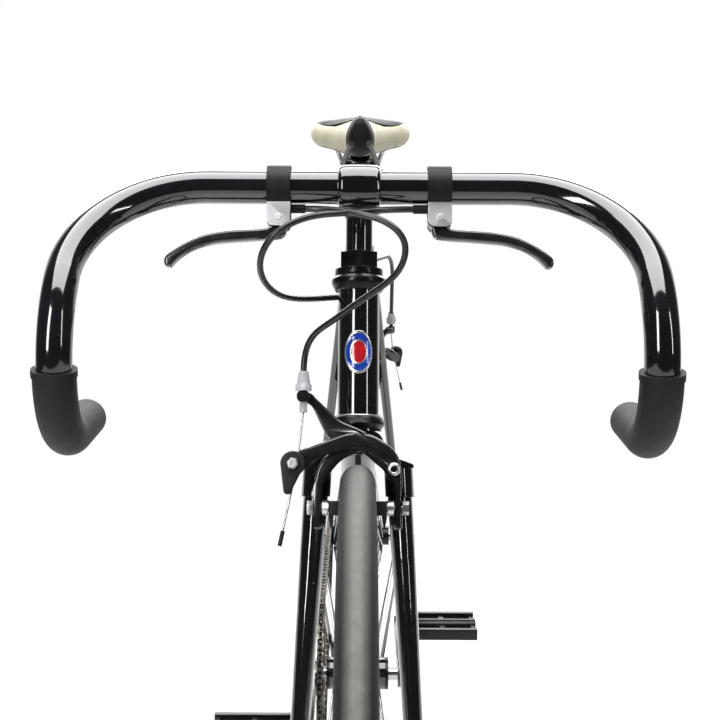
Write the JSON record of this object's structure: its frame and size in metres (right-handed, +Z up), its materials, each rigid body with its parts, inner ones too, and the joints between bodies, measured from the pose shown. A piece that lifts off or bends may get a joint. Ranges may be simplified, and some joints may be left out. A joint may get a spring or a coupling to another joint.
{
  "type": "fixed gear bicycle",
  "caption": "Black fixed gear bicycle with drop handlebar, rubber drop grips, top mounted brake levers, quill stem, lugged fork and dual pivot calipers front and rear.",
  "frame": {"origin": "on the ground, in the bicycle plane, midway between the two wheel axles", "axes": "+Z up, +Y from the front wheel to the rear wheel, +X to the left of the rider"},
  "size_m": [0.4706, 1.6482, 0.9639],
  "materials": {
    "frame_paint": "gloss",
    "bar_paint": "gloss",
    "brake_black": "gloss",
    "black_anodised": "satin",
    "bright_steel": "satin",
    "drive_steel": "satin",
    "pedal_cage": "satin",
    "grip_rubber": "matte",
    "shoe_rubber": "matte",
    "tyre_rubber": "matte",
    "release_plastic": "matte",
    "cable_housing": "satin",
    "saddle_cover": "satin"
  },
  "bodies": {
    "frame": {"head_tube": "frame_paint", "top_tube": "frame_paint", "down_tube": "frame_paint", "seat_tube": "frame_paint", "bottom_bracket_shell": "frame_paint", "chain_stays": "frame_paint", "seat_stays": "frame_paint", "headset_cups": "black_anodised", "bottom_bracket_cups": "bright_steel", "seat_collar": "black_anodised", "rear_axle": "bright_steel", "rear_axle_nuts": "bright_steel", "rear_brake_mount": "brake_black", "rear_brake_cable": "cable_housing", "chain": "drive_steel"},
    "steering": {"fork": "frame_paint", "headset_nuts": "black_anodised", "stem": "bar_paint", "stem_bolts": "bright_steel", "handlebar": "bar_paint", "grips": "grip_rubber", "lever_clamps": "bar_paint", "front_brake_mount": "brake_black", "front_axle": "bright_steel", "front_axle_nuts": "bright_steel", "front_brake_cable": "cable_housing", "rear_brake_cable_loop": "cable_housing"},
    "seat": {"seatpost": "black_anodised", "saddle_rails": "bright_steel", "saddle": "saddle_cover"},
    "front_wheel": {"front_hub": "black_anodised", "front_spokes": "bright_steel", "front_rim": "black_anodised", "front_tyre": "tyre_rubber"},
    "rear_wheel": {"rear_hub": "black_anodised", "rear_spokes": "bright_steel", "rear_rim": "black_anodised", "rear_tyre": "tyre_rubber", "rear_sprocket": "drive_steel"},
    "crankset": {"bottom_bracket_axle": "bright_steel", "right_crank": "black_anodised", "left_crank": "black_anodised", "chainring": "drive_steel", "crank_bolts": "bright_steel", "pedal_axles": "bright_steel"},
    "right_pedal_body": {"right_pedal": "pedal_cage"},
    "left_pedal_body": {"left_pedal": "pedal_cage"},
    "front_lever_body": {"front_brake_lever": "bar_paint"},
    "rear_lever_body": {"rear_brake_lever": "bar_paint"},
    "front_upper_arm_body": {"front_upper_arm": "brake_black", "front_upper_shoe": "shoe_rubber"},
    "front_lower_arm_body": {"front_lower_arm": "brake_black", "front_lower_shoe": "shoe_rubber"},
    "front_release_body": {"front_release_lever": "release_plastic"},
    "rear_upper_arm_body": {"rear_upper_arm": "brake_black", "rear_upper_shoe": "shoe_rubber"},
    "rear_lower_arm_body": {"rear_lower_arm": "brake_black", "rear_lower_shoe": "shoe_rubber"},
    "rear_release_body": {"rear_release_lever": "release_plastic"}
  },
  "joints": [
    {"name": "steer", "type": "hinge", "parent": "frame", "child": "steering", "pos_m": [0, -0.36283, 0.68917], "axis": [0, 0.2588, 0.9659], "range_deg": [-55, 55], "deforming": ["rear_brake_cable_loop"]},
    {"name": "seatpost_slide", "type": "slide", "parent": "frame", "child": "seat", "axis": [0, 0.2672, 0.9636], "range_m": [-0.05, 0.04]},
    {"name": "front_wheel_spin", "type": "hinge", "parent": "steering", "child": "front_wheel", "pos_m": [0, -0.49009, 0.334], "axis": [1, 0, 0], "continuous": true},
    {"name": "rear_wheel_spin", "type": "hinge", "parent": "frame", "child": "rear_wheel", "pos_m": [0, 0.49009, 0.334], "axis": [1, 0, 0], "continuous": true, "deforming": ["chain"]},
    {"name": "crank_spin", "type": "hinge", "parent": "frame", "child": "crankset", "pos_m": [0, 0.09313, 0.276], "axis": [1, 0, 0], "continuous": true, "deforming": ["chain"]},
    {"name": "right_pedal_spin", "type": "hinge", "parent": "crankset", "child": "right_pedal_body", "pos_m": [0, -0.07187, 0.276], "axis": [1, 0, 0], "continuous": true},
    {"name": "left_pedal_spin", "type": "hinge", "parent": "crankset", "child": "left_pedal_body", "pos_m": [0, 0.25813, 0.276], "axis": [1, 0, 0], "continuous": true},
    {"name": "front_lever_squeeze", "type": "hinge", "parent": "steering", "child": "front_lever_body", "pos_m": [-0.061, -0.41704, 0.85203], "axis": [0, 0.9397, -0.342], "range_deg": [0, 18], "stiffness_Nm_per_rad": 1.2, "springref_deg": -6.88, "deforming": ["front_brake_cable"]},
    {"name": "front_upper_arm_close", "type": "hinge", "parent": "steering", "child": "front_upper_arm_body", "pos_m": [0, -0.38153, 0.67347], "axis": [0, -0.9659, 0.2588], "range_deg": [0, 2], "deforming": ["front_brake_cable"]},
    {"name": "front_lower_arm_close", "type": "hinge", "parent": "steering", "child": "front_lower_arm_body", "pos_m": [0.02835, -0.38761, 0.65077], "axis": [0, 0.9659, -0.2588], "range_deg": [0, 3.1], "deforming": ["front_brake_cable"]},
    {"name": "front_release_turn", "type": "hinge", "parent": "front_lower_arm_body", "child": "front_release_body", "pos_m": [-0.051, -0.38658, 0.65463], "axis": [0, 0.9659, -0.2588], "range_deg": [0, 80]},
    {"name": "rear_lever_squeeze", "type": "hinge", "parent": "steering", "child": "rear_lever_body", "pos_m": [0.061, -0.41704, 0.85203], "axis": [0, -0.9397, 0.342], "range_deg": [0, 18], "stiffness_Nm_per_rad": 1.2, "springref_deg": -6.88, "deforming": ["rear_brake_cable"]},
    {"name": "rear_upper_arm_close", "type": "hinge", "parent": "frame", "child": "rear_upper_arm_body", "pos_m": [0, 0.31229, 0.64343], "axis": [0, 0.8601, 0.5102], "range_deg": [0, 2], "deforming": ["rear_brake_cable"]},
    {"name": "rear_lower_arm_close", "type": "hinge", "parent": "frame", "child": "rear_lower_arm_body", "pos_m": [-0.02835, 0.32428, 0.62321], "axis": [0, -0.8601, -0.5102], "range_deg": [0, 3.1], "deforming": ["rear_brake_cable"]},
    {"name": "rear_release_turn", "type": "hinge", "parent": "rear_lower_arm_body", "child": "rear_release_body", "pos_m": [0.051, 0.32224, 0.62665], "axis": [0, -0.8601, -0.5102], "range_deg": [0, 80]}
  ],
  "couplings": [
    {"joint": "crank_spin", "follows": "rear_wheel_spin", "ratio": 0.33333},
    {"joint": "front_upper_arm_close", "follows": "front_lever_squeeze", "ratio": 0.11111},
    {"joint": "front_lower_arm_close", "follows": "front_lever_squeeze", "ratio": 0.17222},
    {"joint": "rear_upper_arm_close", "follows": "rear_lever_squeeze", "ratio": 0.11111},
    {"joint": "rear_lower_arm_close", "follows": "rear_lever_squeeze", "ratio": 0.17222}
  ]
}
